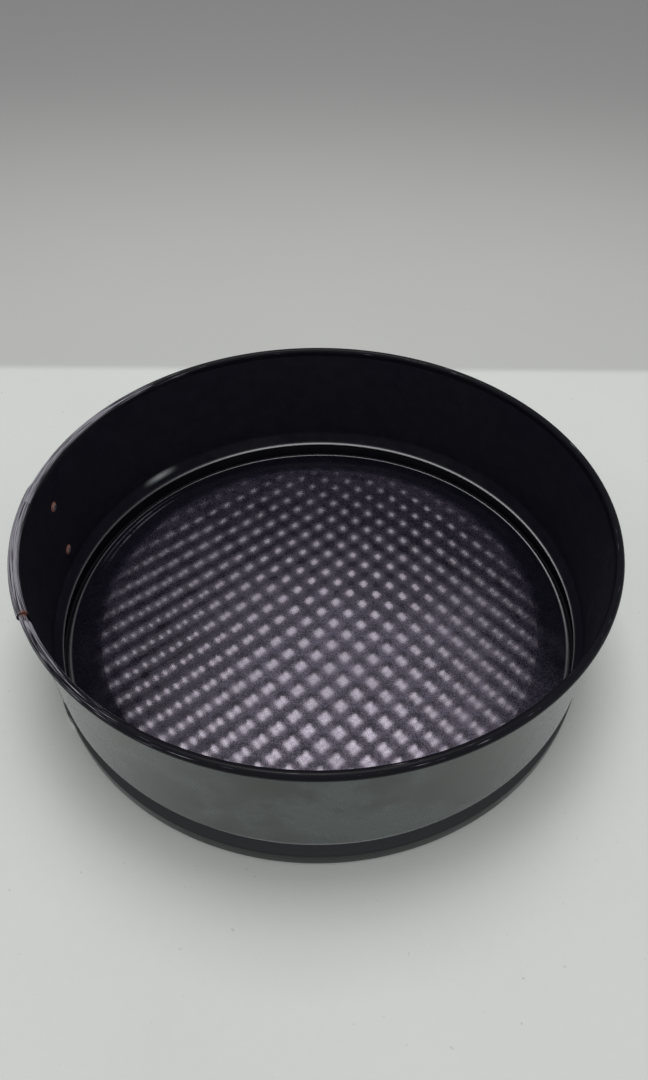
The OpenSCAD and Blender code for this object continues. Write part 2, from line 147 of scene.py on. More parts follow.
# Pale haze of the dulled coat, pale enough to paint the floor's reflected light too
DULLED_AND_LIT_FLOOR = (0.097, 0.084, 0.120, 1)
SCRAPED_FLOOR = (0.16, 0.155, 0.18, 1)
FLANGE_COAT = (0.008, 0.008, 0.011, 1)
FLOOR_GLINT = (0.95, 0.86, 1.0, 1)
# Bare steel at worn edges, pale enough to paint the edges' highlights as well
BARE_EDGE_AND_HIGHLIGHT = (0.80, 0.80, 0.82, 1)
PLATED_STEEL = (0.42, 0.43, 0.44)
RIVET_STEEL = (0.46, 0.40, 0.40)
RIVET_RUST = (0.15, 0.040, 0.022, 1)
TABLE_TOP = ((0.54, 0.56, 0.53, 1), (0.61, 0.63, 0.60, 1))
TABLE_GRAIN = (0.38, 0.38, 0.38, 1)
TABLE_SPECKS = (0.2, 0.2, 0.2, 1)
TABLE_FAR = (0.31, 0.305, 0.30, 1)

# Places of wear and rust, and of painted shade, highlights and reflected light. Azimuths are in
# degrees round the pan, lengths in millimetres, and a reach is how far the wear goes to each side
ROLL_WORN_AND_LIT_AZ, ROLL_WORN_AND_LIT_REACH = 165.0, 60.0
EDGE_WORN_AND_LIT_AZ, EDGE_WORN_AND_LIT_REACH = 62.0, 95.0
CREST_H, CREST_REACH = 10.9, 0.9
SCUFF_AZ, SCUFF_SPAN = 137.0, 6.0
SCUFF_H, SCUFF_REACH = 16.5, 2.6
SCRAPE_AZ, SCRAPE_SPAN = 150.0, 20.0
SCRAPES = ((115.0, 0.7), (112.6, 0.8))
DULL_LIT_X, DULL_LIT_Y = 12.0, -62.0
DULL_LIT_FROM, DULL_LIT_TO, DULL_LIT_UNEVEN = 28.0, 98.0, -20.0
CROWN_FROM, CROWN_TO = FLOOR_H + 0.08, FLOOR_H + 0.42
PLAIN_FROM, PLAIN_TO = RING_R - 9.0, RING_R - 2.0
FLOOR_EDGE, FLOOR_EDGE_REACH = FLOOR_R - 0.35, 1.3
BELOW_FROM, BELOW_TO = FLOOR_H - 1.2, FLOOR_H - 0.7
# Heights over which the painted shade at the foot gives way to the wall's coat
FOOT_SHADE_FROM, FOOT_SHADE_TO = RIDGE_H, 13.0
ROLL_COAT_FROM, ROLL_COAT_TO = PAN_H - 3.9, PAN_H - 3.4
RUST_BROKEN = 2.4
RIVET_RUST_FROM, RIVET_RUST_TO = 2.2, 3.9
END_RUST_FROM, END_RUST_TO = 1.8, 3.4
CORE_BROKEN, CORE_RUST_FROM, CORE_RUST_TO = 1.6, 1.6, 2.9


# Sections of bent sheet

def right_of(v):
    return Vector((v.y, -v.x))


def bend(points, radii, off, i, steps):
    """Bend i of a sheet whose left face follows the points, for a face off to the right of it."""
    before = (points[i] - points[i - 1]).normalized()
    after = (points[i + 1] - points[i]).normalized()
    angle = math.atan2(before.x * after.y - before.y * after.x, before.dot(after))
    way = 1 if angle > 0 else -1
    out = right_of(before) * way
    centre = points[i] - before * (radii[i] * math.tan(abs(angle) / 2)) - out * radii[i]
    return [centre + (Matrix.Rotation(angle * k / steps, 2) @ out) * (radii[i] + way * off)
            for k in range(steps + 1)]


def sheet_face(points, radii, off, steps=BEND_STEPS):
    points = [Vector(point) for point in points]
    face = [points[0] + right_of((points[1] - points[0]).normalized()) * off]
    for i in range(1, len(points) - 1):
        face += bend(points, radii, off, i, steps if radii[i] else 1)
    return face + [points[-1] + right_of((points[-1] - points[-2]).normalized()) * off]


def roll_arc(centre, r, wrap):
    """Arc of the rolled rim, which leaves the wall at its left and goes over the top."""
    turns = [math.radians(wrap) * k / ROLL_STEPS for k in range(1, ROLL_STEPS + 1)]
    return [centre + Vector((-math.cos(a), math.sin(a))) * r for a in turns]


def rolled_sheet(points, radii, shift, roll_r, wrap):
    centre = Vector((points[-1][0] + shift + roll_r, points[-1][1]))
    inner = sheet_face(points, radii, shift) + roll_arc(centre, roll_r, wrap)
    outer = sheet_face(points, radii, shift + SHEET) + roll_arc(centre, roll_r - SHEET, wrap)
    return inner + outer[::-1]


def tongue_section(share):
    return rolled_sheet(BAND_POINTS, BAND_BENDS, 0, (ROLL_D + share * LAP) / 2, OPEN_WRAP)


def outer_section(shift):
    return rolled_sheet(LAP_POINTS, LAP_BENDS, shift, (ROLL_D - shift) / 2, ROLL_WRAP)


# Meshes

def turn(arc):
    """Degrees round the pan that an arc on the wall spans."""
    return math.degrees(arc / WALL_OUT)


def on_circle(angle, r, z):
    return (AXIS_X + r * math.cos(angle)) * MM, r * math.sin(angle) * MM, z * MM


def arc_angles(start, end, step):
    count = max(2, round((end - start) / step))
    return [math.radians(HINGE_AZ + start + (end - start) * k / count) for k in range(count + 1)]


def eased(k, angles):
    """Smooth share of the way from the first angle to the last."""
    return (1 - math.cos(math.pi * k / (len(angles) - 1))) / 2


def swept(sections, angles, verts, faces):
    """Adds a closed length of sheet that takes one section at each angle."""
    first = len(verts)
    n = len(sections[0])
    for section, angle in zip(sections, angles):
        verts += [on_circle(angle, p.x, p.y) for p in section]
    for k in range(len(angles) - 1):
        a, b = first + k * n, first + (k + 1) * n
        faces += [(a + i, a + (i + 1) % n, b + (i + 1) % n, b + i) for i in range(n)]
    last = first + (len(angles) - 1) * n
    faces.append(tuple(range(first + n - 1, first - 1, -1)))
    faces.append(tuple(range(last, last + n)))


def band_mesh():
    verts, faces = [], []
    outer_from, joggle_from = turn(OUTER_END_S), turn(JOGGLE_S)
    joggle_to, tongue_from = turn(JOGGLE_S + JOGGLE_LEN), turn(ROLL_OPEN_S)
    tongue_open = turn(ROLL_OPEN_S + ROLL_EASE_LEN)
    plain = rolled_sheet(BAND_POINTS, BAND_BENDS, 0, ROLL_D / 2, ROLL_WRAP)
    angles = arc_angles(joggle_to, 360 + tongue_from, WALL_STEP)
    swept([plain] * len(angles), angles, verts, faces)

    # The tongue's roll opens out by half of the lap, and the outer layer's is that much tighter
    angles = arc_angles(tongue_from, tongue_open, EASE_STEP)
    sections = [tongue_section(eased(k, angles)) for k in range(len(angles))]
    rest = arc_angles(tongue_open, turn(TONGUE_S), WALL_STEP)[1:]
    swept(sections + [tongue_section(1)] * len(rest), angles + rest, verts, faces)

    # The joggle eases the outer layer in by one sheet and the clearance
    angles = arc_angles(outer_from, joggle_from, WALL_STEP)
    rest = arc_angles(joggle_from, joggle_to, EASE_STEP)
    sections = [outer_section(LAP)] * len(angles)
    sections += [outer_section(LAP * (1 - eased(k, rest))) for k in range(1, len(rest))]
    swept(sections, angles + rest[1:], verts, faces)
    return verts, faces


def round_grid(cells, r):
    """Points of a square grid drawn out to a disc, row by row."""
    points = []
    for j in range(cells + 1):
        for i in range(cells + 1):
            u, v = 2 * i / cells - 1, 2 * j / cells - 1
            points.append((r * u * math.sqrt(1 - v * v / 2), r * v * math.sqrt(1 - u * u / 2)))
    return points


def plate_section():
    """Half section of the plate beyond the grid: top rings, slope, flange, hem, and back below."""
    hem_at = Vector((PLATE_EDGE_R - HEM_R, PLATE_Z + HEM_R))
    flange_top = PLATE_Z + BASE_T
    hem_from = math.pi - math.asin((flange_top - hem_at.y) / HEM_R)
    start = hem_at + Vector((math.cos(hem_from), math.sin(hem_from))) * HEM_R
    points = ((RING_R, FLOOR_H), (FLOOR_R - FLOOR_SLOPE / 2, FLOOR_H),
              (FLOOR_R + FLOOR_SLOPE / 2, flange_top), tuple(start))
    radii = (0, FLOOR_EDGE_R, BASE_T / 2, 0)
    top, below = (sheet_face(points, radii, off, PLATE_BEND_STEPS) for off in (0, BASE_T))
    curl = hem_from + math.pi / 2
    spans = [hem_from - curl * k / HEM_STEPS for k in range(1, HEM_STEPS + 1)]
    hem = [hem_at + Vector((math.cos(a), math.sin(a))) * HEM_R for a in spans]
    rings = [FIELD_R + (RING_R - FIELD_R) * k / FIELD_RINGS for k in range(FIELD_RINGS)]
    back = below[::-1] + [Vector((r, FLOOR_H - BASE_T)) for r in rings[::-1]]
    return [Vector((r, FLOOR_H)) for r in rings] + top + hem + back


def plate_mesh():
    """The base plate with a flat floor: two discs of a fine grid inside the revolved section."""
    verts, faces = [], []
    n = FIELD_CELLS
    disc = round_grid(n, FIELD_R)
    for height, way in ((FLOOR_H, 1), (FLOOR_H - BASE_T, -1)):
        first = len(verts)
        verts += [((AXIS_X + x) * MM, y * MM, height * MM) for x, y in disc]
        for j in range(n):
            for i in range(n):
                a = first + j * (n + 1) + i
                faces.append((a, a + 1, a + n + 2, a + n + 1)[::way])
    edge = list(range(n)) + [i * (n + 1) + n for i in range(n)]
    edge += [n * (n + 1) + n - i for i in range(n)] + [(n - i) * (n + 1) for i in range(n)]
    angles = [math.atan2(disc[i][1], disc[i][0]) for i in edge]
    section = plate_section()
    m = len(section)
    first = len(verts)
    for angle in angles:
        verts += [on_circle(angle, p.x, p.y) for p in section]
    for k in range(len(angles)):
        a, b = first + k * m, first + (k + 1) % len(angles) * m
        faces += [(a + i, b + i, b + i + 1, a + i + 1) for i in range(m - 1)]
    return verts, faces


def placed(name, data):
    """A new object in the scene for a mesh, a lamp or a camera."""
    thing = bpy.data.objects.new(name, data)
    bpy.context.scene.collection.objects.link(thing)
    return thing


def smoothed(mesh, sharp):
    mesh.shade_smooth()
    mesh.set_sharp_from_angle(angle=math.radians(sharp))


def merge(mesh, turn_out):
    """Joins the points that lie together, and turns the faces outward where asked."""
    shape = bmesh.new()
    shape.from_mesh(mesh)
    bmesh.ops.remove_doubles(shape, verts=shape.verts, dist=MERGE)
    if turn_out:
        bmesh.ops.recalc_face_normals(shape, faces=shape.faces)
    shape.to_mesh(mesh)
    shape.free()


def made_piece(name, verts, faces):
    """A piece of the object from points and faces, merged, turned outward and smoothed."""
    mesh = bpy.data.meshes.new(name)
    mesh.from_pydata(verts, [], faces)
    merge(mesh, turn_out=True)
    smoothed(mesh, PIECE_SHARP)
    return placed(name, mesh)


def made_plain(piece):
    """The piece with its modifiers' result as its mesh."""
    seen = piece.evaluated_get(bpy.context.evaluated_depsgraph_get())
    mesh = bpy.data.meshes.new_from_object(seen)
    piece.modifiers.clear()
    piece.data = mesh
    return piece


def smooth_copy(node, material):
    """A copy of a CAD node's mesh, merged and smoothed, that stands for the node."""
    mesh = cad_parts[node].data.copy()
    merge(mesh, turn_out=False)
    mesh.materials.clear()
    mesh.materials.append(material)
    smoothed(mesh, COPY_SHARP)
    piece = placed(node + "_finished", mesh)
    evened = piece.modifiers.new("evened", "WEIGHTED_NORMAL")
    evened.keep_sharp = True
    return made_plain(piece)


# Node trees

class Wiring:
    """Short words for placing and joining the nodes of one tree."""

    def __init__(self, tree):
        self.tree = tree

    def place(self, kind, inputs=None, **settings):
        node = self.tree.nodes.new(kind)
        for key, value in settings.items():
            setattr(node, key, value)
        for key, value in (inputs or {}).items():
            self.feed(node.inputs[key], value)
        return node

    def feed(self, socket, value):
        if isinstance(value, bpy.types.NodeSocket):
            self.tree.links.new(value, socket)
        else:
            socket.default_value = value

    def sums(self, operation, *values, clamp=False):
        node = self.place("ShaderNodeMath", operation=operation, use_clamp=clamp)
        for socket, value in zip(node.inputs, values):
            self.feed(socket, value)
        return node.outputs[0]

    def add(self, one, other, clamp=False):
        return self.sums("ADD", one, other, clamp=clamp)

    def less(self, one, other):
        return self.sums("SUBTRACT", one, other)

    def times(self, *values):
        result = values[0]
        for value in values[1:]:
            result = self.sums("MULTIPLY", result, value)
        return result

    def length(self, one, other):
        """Length of an arrow with two parts at a right angle."""
        return self.sums("SQRT", self.add(self.times(one, one), self.times(other, other)))

    def split(self, vector):
        return self.place("ShaderNodeSeparateXYZ", {0: vector}).outputs[:3]

    def ramp(self, value, low, high, start=0.0, end=1.0):
        """Smooth step of a value from low to high."""
        node = self.place("ShaderNodeMapRange", interpolation_type="SMOOTHSTEP")
        for socket, given in zip(node.inputs, (value, low, high, start, end)):
            self.feed(socket, given)
        return node.outputs[0]

    def near(self, value, middle, reach):
        """1 where a value lies at the middle, and 0 from the reach on."""
        return self.ramp(self.sums("ABSOLUTE", self.less(value, middle)), 0.0, reach, 1.0, 0.0)

    def gap(self, place, spot):
        """Distance of a place from one spot, both in metres."""
        return self.place("ShaderNodeVectorMath", {0: place, 1: spot},
                          operation="DISTANCE").outputs["Value"]

    def tint(self, share, one, other):
        """Mixes two colours, whose sockets come after the node's ones for numbers and arrows."""
        node = self.place("ShaderNodeMix", data_type="RGBA")
        self.feed(node.inputs["Factor"], share)
        self.feed(node.inputs[6], one)
        self.feed(node.inputs[7], other)
        return node.outputs[2]

    def noise(self, vector, scale, detail=3.0, roughness=0.6, **inputs):
        node = self.place("ShaderNodeTexNoise", {"Vector": vector, "Scale": scale, "Detail": detail,
                                                 "Roughness": roughness, **inputs})
        return node.outputs["Fac"]

    def use(self, group, place, **inputs):
        """Places a shader group with its own values."""
        node = self.place("ShaderNodeGroup", node_tree=group)
        self.feed(node.inputs["Place"], place)
        for key, value in inputs.items():
            self.feed(node.inputs[key], value)
        return node.outputs

    def grained(self, shader, height, strength, distance):
        bump = self.place("ShaderNodeBump", {"Height": height, "Strength": strength,
                                             "Distance": distance * MM})
        self.feed(shader.inputs["Normal"], bump.outputs[0])


# Shader groups

def shader_group(name, inputs, outputs, build):
    """A shader node group with named inputs, (name, kind, value), and named number outputs."""
    tree = bpy.data.node_groups.new(name, "ShaderNodeTree")
    for title, kind, value in inputs:
        kind = "NodeSocket" + kind
        socket = tree.interface.new_socket(title, in_out="INPUT", socket_type=kind)
        if value is not None:
            socket.default_value = value
    for title in outputs:
        tree.interface.new_socket(title, in_out="OUTPUT", socket_type="NodeSocketFloat")
    w = Wiring(tree)
    results = build(w, w.place("NodeGroupInput").outputs)
    end = w.place("NodeGroupOutput")
    for title, value in results.items():
        w.feed(end.inputs[title], value)
    return tree


def round_the_pan(w, given):
    """Where a point lies round the pan's axis, and which way its face looks."""
    x, y, z = w.split(given["Place"])
    x = w.less(x, AXIS_X * MM)
    radius = w.length(x, y)
    nx, ny, nz = w.split(w.place("ShaderNodeNewGeometry").outputs["Normal"])
    outward = w.add(w.times(nx, w.sums("DIVIDE", x, radius)),
                    w.times(ny, w.sums("DIVIDE", y, radius)))
    return {"Radius": w.sums("DIVIDE", radius, MM),
            "Azimuth": w.sums("DEGREES", w.sums("ARCTAN2", y, x)),
            "Height": w.sums("DIVIDE", z, MM), "Outward": outward, "Upward": nz}


def speckle(w, given):
    """Fine grain of the coat: a share of pale flecks among dark ones."""
    fine = w.noise(given["Place"], given["Grain"], 2.0, 0.75)
    coarse = w.noise(given["Place"], given["Patch"], 3.0, 0.6)
    mixed = w.add(w.times(fine, 0.75), w.times(coarse, 0.25))
    return {"Flecks": w.ramp(mixed, given["Low"], given["High"])}


def smudges(w, given):
    """Soft clouds that handling leaves on a coated sheet."""
    cloud = w.noise(given["Place"], given["Size"], 4.0, 0.55, Distortion=0.6)
    return {"Cloud": w.ramp(cloud, 0.35, 0.7)}


def rubbing(w, given):
    """Where a raised place is rubbed: broken, drawn-out patches within a mask."""
    rough = w.noise(given["Place"], given["Size"], 5.0, 0.7, Distortion=0.3)
    level, soft = w.less(1.0, given["Amount"]), 0.12
    broken = w.ramp(rough, w.less(level, soft), w.add(level, soft))
    return {"Rubbed": w.sums("MULTIPLY", broken, given["Where"], clamp=True)}


PLACE = ("Place", "Vector", None)
ROUND = shader_group("Round the pan", [PLACE], ["Radius", "Azimuth", "Height", "Outward", "Upward"],
                     round_the_pan)
SPECKLE = shader_group("Speckled coat", [PLACE, ("Grain", "Float", 1500.0),
                                         ("Patch", "Float", 120.0), ("Low", "Float", 0.45),
                                         ("High", "Float", 0.6)], ["Flecks"], speckle)
SMUDGES = shader_group("Smudges", [PLACE, ("Size", "Float", 30.0)], ["Cloud"], smudges)
RUBBING = shader_group("Rubbing", [PLACE, ("Size", "Float", 300.0), ("Amount", "Float", 0.5),
                                   ("Where", "Float", 1.0)], ["Rubbed"], rubbing)


# Finishes

def finish_of(name):
    """A new material with its wiring, its shader and the place that patterns are read from."""
    material = bpy.data.materials.new(name)
    material.use_nodes = True
    tree = material.node_tree
    tree.nodes.clear()
    w = Wiring(tree)
    shader = w.place("ShaderNodeBsdfPrincipled")
    end = w.place("ShaderNodeOutputMaterial")
    tree.links.new(shader.outputs[0], end.inputs[0])
    place = w.place("ShaderNodeTexCoord").outputs["Object"]
    return material, w, shader, place


def bared_and_highlit_edge(w, place, at, base, where, amount):
    """Coat whose raised edge is worn to steel with a painted highlight, most at the back and the
    right.
    """
    nicks_and_glints = w.use(RUBBING, place, Size=500.0, Amount=amount, Where=where)["Rubbed"]
    bare_and_lit_share = w.ramp(w.near(at["Azimuth"], EDGE_WORN_AND_LIT_AZ, EDGE_WORN_AND_LIT_REACH), 0.0, 0.6, 0.16, 0.9)
    return w.tint(w.times(nicks_and_glints, bare_and_lit_share), base, BARE_EDGE_AND_HIGHLIGHT)


def rust_spots(w, place, spots, inner, outer):
    """Rust round some places, (angle, r, z), broken up at its edge."""
    flecks = w.noise(place, 700.0, 4.0, 0.75)
    result = 0.0
    for angle, r, z in spots:
        gap = w.gap(place, on_circle(math.radians(angle), r, z))
        worn = w.add(gap, w.times(flecks, RUST_BROKEN * MM))
        result = w.sums("MAXIMUM", result, w.ramp(worn, inner * MM, outer * MM, 1.0, 0.0))
    return result


def band_rust(w, place, inside):
    """Rust round the rivets on the inner wall and at the end of the tongue's roll."""
    rivets = [(HINGE_AZ, WALL_IN, height) for height in RIVET_HEIGHTS]
    end_az = HINGE_AZ + turn(TONGUE_S)
    ends = [(end_az, WALL_OUT + 0.6, PAN_H - 0.5), (end_az + 1.5, WALL_IN, PAN_H - 6.0)]
    rivets = rust_spots(w, place, rivets, RIVET_RUST_FROM, RIVET_RUST_TO)
    ends = rust_spots(w, place, ends, END_RUST_FROM, END_RUST_TO)
    return w.sums("MAXIMUM", w.times(rivets, inside), ends)


def rubbed_and_highlit_roll(w, at, roll):
    """Thin rubbed lines along the top of the roll, most of all at the left, also painting its
    highlight.
    """
    left = w.near(w.sums("ABSOLUTE", at["Azimuth"]), ROLL_WORN_AND_LIT_AZ, ROLL_WORN_AND_LIT_REACH)
    drawn = {0: w.times(at["Azimuth"], 0.12), 1: w.times(at["Radius"], 2.2),
             2: w.times(at["Height"], 2.2)}
    lines = w.noise(w.place("ShaderNodeCombineXYZ", drawn).outputs[0], 1.0)
    streaks = w.ramp(lines, w.less(0.65, w.times(left, 0.35)), w.less(0.76, w.times(left, 0.16)))
    return w.times(roll, w.ramp(at["Upward"], -0.1, 0.7), streaks)


def coated_band(part, gloss, sheen):
    material, w, shader, place = finish_of("coated_band_" + part)
    at = w.use(ROUND, place)
    cloud = w.use(SMUDGES, place, Size=24.0)["Cloud"]
    fine = w.use(SMUDGES, place, Size=150.0)["Cloud"]
    roll = w.ramp(at["Height"], ROLL_COAT_FROM, ROLL_COAT_TO)
    outside = w.times(w.ramp(at["Outward"], -0.1, 0.3), w.less(1.0, roll))
    inside = w.ramp(at["Outward"], 0.3, -0.1)

    # Inside the coat is near black, outside a handled greenish grey down to the bead at the foot
    handled = w.add(w.times(cloud, 0.8), w.times(fine, 0.2))
    clear = w.tint(w.ramp(handled, 0.05, 0.9), *WALL_COAT)
    # Below the ridge the outer coat darkens to painted shade, where the foot faces the shaded table
    sheet = w.tint(w.ramp(at["Height"], FOOT_SHADE_FROM, FOOT_SHADE_TO), FOOT_PAINTED_SHADE, clear)
    base = w.tint(outside, w.tint(fine, *INSIDE_COAT), sheet)

    # The roll's top is lighter where it faces up: rubbed wear and a painted highlight
    rubbed = rubbed_and_highlit_roll(w, at, roll)
    base = w.tint(w.times(roll, 0.9), base, ROLL_COAT)
    base = w.tint(w.times(rubbed, 0.85), base, RUBBED_COAT_AND_HIGHLIGHT)

    # One scuff low on the inner wall, the ridge's crest worn bright with a painted highlight, and
    # the rust
    where = w.times(w.near(at["Azimuth"], SCUFF_AZ, SCUFF_SPAN),
                    w.near(at["Height"], SCUFF_H, SCUFF_REACH), inside)
    scuff = w.use(RUBBING, place, Size=420.0, Amount=0.66, Where=where)["Rubbed"]
    base = w.tint(w.times(scuff, 0.8), base, SCUFFED_COAT)
    crest = w.times(w.near(at["Height"], CREST_H, CREST_REACH), inside)
    base = bared_and_highlit_edge(w, place, at, base, crest, 0.72)
    rust = band_rust(w, place, inside)
    w.feed(shader.inputs["Base Color"], w.tint(w.times(rust, 0.8), base, BAND_RUST))

    rough = w.add(w.times(cloud, 0.12), w.times(fine, 0.06))
    rough = w.add(rough, w.ramp(outside, 0.0, 1.0, 0.27, 0.15))
    rough = w.add(rough, w.times(rubbed, 0.2))
    w.feed(shader.inputs["Roughness"], w.add(rough, w.times(rust, 0.4), clamp=True))
    w.feed(shader.inputs["Specular IOR Level"], gloss)
    w.feed(shader.inputs["Sheen Weight"], sheen)
    w.feed(shader.inputs["Sheen Roughness"], 0.3)
    w.grained(shader, w.noise(place, 1600.0, 2.0), 0.06, 0.1)
    return material


def coated_floor(part, gloss):
    material, w, shader, place = finish_of("coated_floor_" + part)
    at = w.use(ROUND, place)
    flecks = w.use(SPECKLE, place, Grain=1600.0, Patch=150.0, Low=0.40, High=0.60)["Flecks"]
    cloud = w.use(SMUDGES, place, Size=22.0)["Cloud"]

    # The margin is plainer. The middle and the front are dulled by use and painted paler as
    # reflected light
    # The crowns are dulled less, so they stay darker, as painted shade
    plain = w.ramp(at["Radius"], PLAIN_FROM, PLAIN_TO)
    gap = w.gap(place, ((AXIS_X + DULL_LIT_X) * MM, DULL_LIT_Y * MM, FLOOR_H * MM))
    worn = w.add(gap, w.times(cloud, DULL_LIT_UNEVEN * MM))
    dull = w.ramp(worn, DULL_LIT_FROM * MM, DULL_LIT_TO * MM, 1.0, 0.0)
    crown = w.ramp(at["Height"], CROWN_FROM, CROWN_TO)
    haze_and_painted_light = w.times(dull, w.less(1.0, w.times(crown, 0.85)))
    shown = w.times(flecks, w.less(1.0, w.times(plain, 0.9)))
    base = w.tint(shown, *FLOOR_COAT)
    base = w.tint(w.times(haze_and_painted_light, w.ramp(flecks, 0.0, 1.0, 0.15, 0.9)), base, DULLED_AND_LIT_FLOOR)

    # Faint arcs where the margin was scraped at the left
    arcs = w.add(*(w.near(at["Radius"], r, reach) for r, reach in SCRAPES), clamp=True)
    where = w.times(arcs, w.near(at["Azimuth"], SCRAPE_AZ, SCRAPE_SPAN))
    arcs = w.use(RUBBING, place, Size=160.0, Amount=0.55, Where=where)["Rubbed"]
    base = w.tint(w.times(arcs, 0.5), base, SCRAPED_FLOOR)

    # The flange and the underside are plain dark coat; the floor's edge is worn and has a painted
    # highlight
    below = w.ramp(at["Height"], BELOW_FROM, BELOW_TO, 1.0, 0.0)
    base = w.tint(below, base, FLANGE_COAT)
    edge = w.times(w.near(at["Radius"], FLOOR_EDGE, FLOOR_EDGE_REACH),
                   w.ramp(at["Upward"], 0.1, 0.6))
    w.feed(shader.inputs["Base Color"], bared_and_highlit_edge(w, place, at, base, edge, 0.76))

    rough = w.add(w.times(flecks, 0.14), w.times(cloud, 0.08))
    w.feed(shader.inputs["Roughness"], w.add(w.add(rough, 0.15), w.times(haze_and_painted_light, 0.07)))
    w.feed(shader.inputs["IOR"], gloss)
    w.feed(shader.inputs["Specular Tint"], FLOOR_GLINT)
    w.grained(shader, w.noise(place, 1400.0, 2.0, 0.7), 0.3, 0.1)
    return material


def off_rivets(w, place):
    """Distance from the axis of the nearest rivet."""
    x, y, z = w.split(place)
    x = w.less(x, AXIS_X * MM)
    sides = []
    for angle in (HINGE_AZ, HINGE_AZ + turn(CLASP_SPAN)):
        angle = math.radians(angle)
        side = w.less(w.times(x, math.sin(angle)), w.times(y, math.cos(angle)))
        sides.append(w.sums("ABSOLUTE", side))
    heights = [w.sums("ABSOLUTE", w.less(z, height * MM)) for height in RIVET_HEIGHTS]
    return w.length(w.sums("MINIMUM", *sides), w.sums("MINIMUM", *heights))


def bare_metal(name, tone, dull, rust=0.0):
    """Plated steel, drawn and handled: fine drawn lines, clouds, and rust where asked for."""
    material, w, shader, place = finish_of(name)
    cloud = w.use(SMUDGES, place, Size=90.0)["Cloud"]
    lines = w.place("ShaderNodeMapping", {"Vector": place, "Scale": (260.0, 260.0, 2600.0)})
    drawn = w.noise(lines.outputs[0], 1.0)
    shade = w.add(w.times(cloud, 0.5), w.times(drawn, 0.5))
    base = w.tint(shade, tuple(c * 0.78 for c in tone) + (1,), tone + (1,))
    rough = w.add(dull, w.times(shade, 0.16))
    w.feed(shader.inputs["Metallic"], 1.0)
    if rust:
        flecks = w.noise(place, 900.0, 4.0, 0.75)
        gap = w.add(off_rivets(w, place), w.times(flecks, CORE_BROKEN * MM))
        rusted = w.ramp(gap, CORE_RUST_FROM * MM, CORE_RUST_TO * MM, 0.0, rust)
        base = w.tint(rusted, base, RIVET_RUST)
        rough = w.add(rough, w.times(rusted, 0.4), clamp=True)
        w.feed(shader.inputs["Metallic"], w.less(1.0, rusted))
    w.feed(shader.inputs["Base Color"], base)
    w.feed(shader.inputs["Roughness"], rough)
    w.grained(shader, drawn, 0.08, 0.05)
    return material


# The egg-crate embossing of the base plate

def embossing():
    """A tree that makes crowns and hollows on a square in the floor, fading at the margin."""
    tree = bpy.data.node_groups.new("Egg-crate embossing", "GeometryNodeTree")
    sizes = {"Pitch": WAVE_PITCH, "Height": WAVE_H, "Turn": math.radians(WAVE_TURN),
             "Ring": RING_R - WAVE_PITCH / 4, "Fade": WAVE_FADE, "Axis": AXIS_X}
    sockets = [("Geometry", "Geometry")] + [(title, "Float") for title in sizes]
    for title, kind in sockets + [("Finish", "Material")]:
        kind = "NodeSocket" + kind
        tree.interface.new_socket(title, in_out="INPUT", socket_type=kind)
    tree.interface.new_socket("Geometry", in_out="OUTPUT", socket_type="NodeSocketGeometry")
    w = Wiring(tree)
    given = w.place("NodeGroupInput").outputs
    x, y = w.split(w.place("GeometryNodeInputPosition").outputs[0])[:2]
    x = w.less(w.sums("DIVIDE", x, MM), given["Axis"])
    y = w.sums("DIVIDE", y, MM)
    fade = w.sums("DIVIDE", w.less(given["Ring"], w.length(x, y)), given["Fade"], clamp=True)
    cos, sin = w.sums("COSINE", given["Turn"]), w.sums("SINE", given["Turn"])
    along = w.add(w.times(x, cos), w.times(y, sin))
    across = w.less(w.times(y, cos), w.times(x, sin))
    waves = [w.sums("COSINE", w.times(w.sums("DIVIDE", value, given["Pitch"]), TAU))
             for value in (along, across)]
    lift = w.times(w.add(*waves), w.times(given["Height"], MM / 4), fade)
    offset = w.place("ShaderNodeCombineXYZ", {2: lift}).outputs[0]
    moved = w.place("GeometryNodeSetPosition", {"Geometry": given["Geometry"], "Offset": offset})
    made = w.place("GeometryNodeRealizeInstances", {0: moved.outputs[0]})
    dressed = w.place("GeometryNodeSetMaterial", {"Geometry": made.outputs[0],
                                                  "Material": given["Finish"]})
    w.place("NodeGroupOutput", {"Geometry": dressed.outputs[0]})
    return tree, sizes


def embossed(piece, material):
    """The piece with its floor embossed, as a plain mesh."""
    tree, sizes = embossing()
    modifier = piece.modifiers.new("embossing", "NODES")
    modifier.node_group = tree
    sockets = {s.name: s.identifier for s in tree.interface.items_tree if s.in_out == "INPUT"}
    for title, size in sizes.items():
        modifier[sockets[title]] = float(size)
    modifier[sockets["Finish"]] = material
    smoothed(made_plain(piece).data, EMBOSSED_SHARP)
    return piece


# The finished pieces

def share_out(piece, materials, part_of):
    """Gives each face the material of its part of the piece."""
    piece.data.materials.clear()
    for material in materials:
        piece.data.materials.append(material)
    for face in piece.data.polygons:
        x, y, z = face.center / MM
        off = Vector((x - AXIS_X, y))
        face.material_index = part_of(off.length, z, face.normal.xy.dot(off.normalized()))


def band_part(radius, height, outward):
    if height > ROLL_FROM:
        return 1
    return 2 if outward > 0.3 and height > LEDGE_H else 0


def plate_part(radius, height, outward):
    if radius > MARGIN_R:
        return 2
    return 1 if radius > FADING_R else 0


def dress(piece, body, node):
    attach(piece, body)
    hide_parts(node)


BAND = [coated_band("inside", 0.24, 0), coated_band("roll", 0.08, 0),
        coated_band("outside", 0.55, 0.36)]
FLOOR = [coated_floor("field", 1.72), coated_floor("fading", 1.5), coated_floor("margin", 1.2)]
PLATED = bare_metal("plated_steel", PLATED_STEEL, 0.24)
RIVETS = bare_metal("rivet_steel", RIVET_STEEL, 0.34, rust=0.95)

